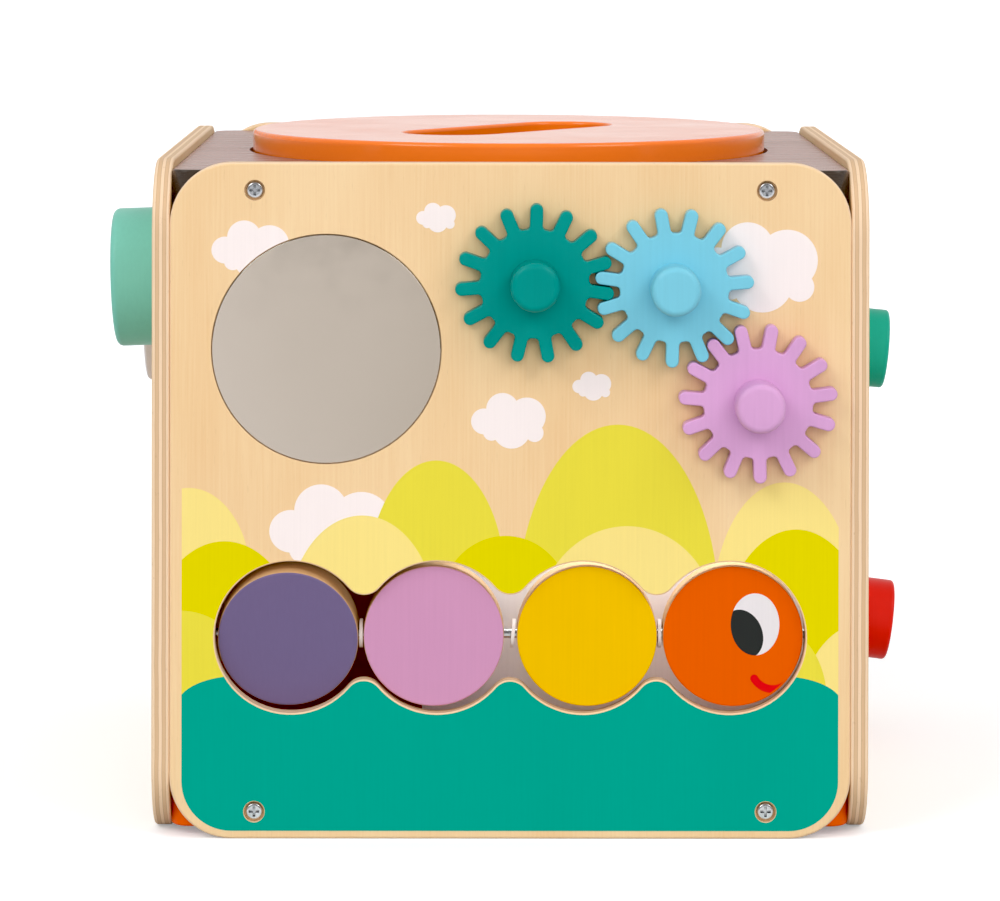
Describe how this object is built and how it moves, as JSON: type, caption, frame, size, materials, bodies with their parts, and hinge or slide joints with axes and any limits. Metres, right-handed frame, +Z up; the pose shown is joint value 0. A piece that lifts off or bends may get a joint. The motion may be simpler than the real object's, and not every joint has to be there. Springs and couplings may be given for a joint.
{
  "type": "wooden activity cube",
  "caption": "Wooden baby activity cube with meshing gears, a mirror, a worm of four turning discs, two drums, two sliders and a turning posting lid.",
  "frame": {"origin": "on the floor under the middle of the cube's four walls", "axes": "+Z up; -Y is the face with the worm of discs, the gears and the mirror; the two drums are on -X and the two sliders on +X"},
  "size_m": [0.3614, 0.3532, 0.2889],
  "materials": {
    "ply": "clear satin lacquer on birch plywood, printed with a landscape",
    "taupe_board": "taupe stain, satin",
    "orange_board": "orange paint, satin",
    "zinc": "bright zinc",
    "mirror_sheet": "acrylic mirror",
    "white_plastic": "satin",
    "teal_paint": "dark teal paint, satin",
    "blue_paint": "light blue paint, satin",
    "lilac_paint": "lilac paint, satin",
    "purple_disc": "purple faces, bare rim",
    "pink_disc": "pink faces, bare rim",
    "yellow_disc": "yellow faces, bare rim",
    "orange_disc": "orange faces, bare rim",
    "steel_rod": "drawn",
    "block_wood": "bare",
    "white_board": "white paint, matt",
    "orange_paint": "orange paint, gloss",
    "white_paint": "white paint, satin",
    "mint_paint": "mint paint, satin",
    "green_paint": "green paint, satin",
    "red_paint": "red paint, satin",
    "yellow_paint": "yellow paint, satin",
    "orange_peg": "orange paint, satin"
  },
  "bodies": {
    "cube": {"front_panel": "ply", "right_panel": "ply", "back_panel": "ply", "left_panel": "ply", "top_board": "taupe_board", "bottom_board": "orange_board", "front_screws": "zinc", "right_screws": "zinc", "back_screws": "zinc", "left_screws": "zinc", "mirror": "mirror_sheet", "gear_spacers": "white_plastic", "disc_rod": "steel_rod", "rod_washers": "white_plastic", "left_rod_block": "block_wood", "right_rod_block": "block_wood", "inner_panel": "white_board", "inner_cleat": "block_wood", "mint_spacer": "white_plastic", "white_spacer": "white_plastic", "sun_spacer": "white_plastic"},
    "teal_gear_body": {"teal_gear": "teal_paint", "teal_peg": "teal_paint", "teal_keeper": "zinc", "teal_keeper_screw": "zinc"},
    "blue_gear_body": {"blue_gear": "blue_paint", "blue_peg": "blue_paint", "blue_keeper": "zinc", "blue_keeper_screw": "zinc"},
    "lilac_gear_body": {"lilac_gear": "lilac_paint", "lilac_peg": "lilac_paint", "lilac_keeper": "zinc", "lilac_keeper_screw": "zinc"},
    "purple_disc": {"purple_segment": "purple_disc"},
    "pink_disc": {"pink_segment": "pink_disc"},
    "yellow_disc": {"yellow_segment": "yellow_disc"},
    "head_disc": {"head_segment": "orange_disc"},
    "lid_turn": {"lid_ring": "white_plastic"},
    "lid_cover": {"lid": "orange_paint"},
    "mint_roll": {"mint_drum": "mint_paint", "mint_keeper": "zinc", "mint_keeper_screw": "zinc"},
    "white_roll": {"white_drum": "white_paint", "white_keeper": "zinc", "white_keeper_screw": "zinc"},
    "green_knob": {"green_slider": "green_paint", "green_slider_keeper": "white_plastic", "green_slider_keeper_screw": "zinc"},
    "red_knob": {"red_slider": "red_paint", "red_slider_keeper": "white_plastic", "red_slider_keeper_screw": "zinc"},
    "sun": {"sun_disc": "yellow_paint", "sun_peg": "orange_peg", "sun_keeper": "zinc", "sun_keeper_screw": "zinc"}
  },
  "joints": [
    {"name": "teal_gear_spin", "type": "hinge", "parent": "cube", "child": "teal_gear_body", "pos_m": [0.0099, -0.15, 0.2332], "axis": [0, -1, 0], "continuous": true},
    {"name": "blue_gear_spin", "type": "hinge", "parent": "cube", "child": "blue_gear_body", "pos_m": [0.068, -0.15, 0.2316], "axis": [0, -1, 0], "continuous": true},
    {"name": "lilac_gear_spin", "type": "hinge", "parent": "cube", "child": "lilac_gear_body", "pos_m": [0.103, -0.15, 0.1834], "axis": [0, -1, 0], "continuous": true},
    {"name": "purple_disc_spin", "type": "hinge", "parent": "cube", "child": "purple_disc", "pos_m": [-0.093, -0.1395, 0.0844], "axis": [1, 0, 0], "continuous": true},
    {"name": "pink_disc_spin", "type": "hinge", "parent": "cube", "child": "pink_disc", "pos_m": [-0.032, -0.1395, 0.0844], "axis": [1, 0, 0], "continuous": true},
    {"name": "yellow_disc_spin", "type": "hinge", "parent": "cube", "child": "yellow_disc", "pos_m": [0.0322, -0.1395, 0.0844], "axis": [1, 0, 0], "continuous": true},
    {"name": "head_disc_spin", "type": "hinge", "parent": "cube", "child": "head_disc", "pos_m": [0.0933, -0.1395, 0.0844], "axis": [1, 0, 0], "continuous": true},
    {"name": "lid_spin", "type": "hinge", "parent": "cube", "child": "lid_turn", "pos_m": [0, 0, 0.2724], "axis": [0, 0, 1], "continuous": true},
    {"name": "lid_lift", "type": "slide", "parent": "lid_turn", "child": "lid_cover", "axis": [0, 0, 1], "range_m": [0, 0.12]},
    {"name": "mint_drum_spin", "type": "hinge", "parent": "cube", "child": "mint_roll", "pos_m": [-0.15, 0, 0.2218], "axis": [-0.9994, 0, -0.0349], "continuous": true},
    {"name": "white_drum_spin", "type": "hinge", "parent": "cube", "child": "white_roll", "pos_m": [-0.15, 0.07, 0.2042], "axis": [-1, 0, 0], "continuous": true},
    {"name": "green_slider_run", "type": "slide", "parent": "cube", "child": "green_knob", "axis": [0, 1, 0], "range_m": [-0.172, 0.004]},
    {"name": "red_slider_run", "type": "slide", "parent": "cube", "child": "red_knob", "axis": [0, 1, 0], "range_m": [-0.15, 0.026]},
    {"name": "sun_spin", "type": "hinge", "parent": "cube", "child": "sun", "pos_m": [0, 0.15, 0.176], "axis": [0, 1, 0], "continuous": true}
  ],
  "couplings": [
    {"joint": "blue_gear_spin", "follows": "teal_gear_spin", "ratio": -1},
    {"joint": "lilac_gear_spin", "follows": "teal_gear_spin", "ratio": 1}
  ]
}
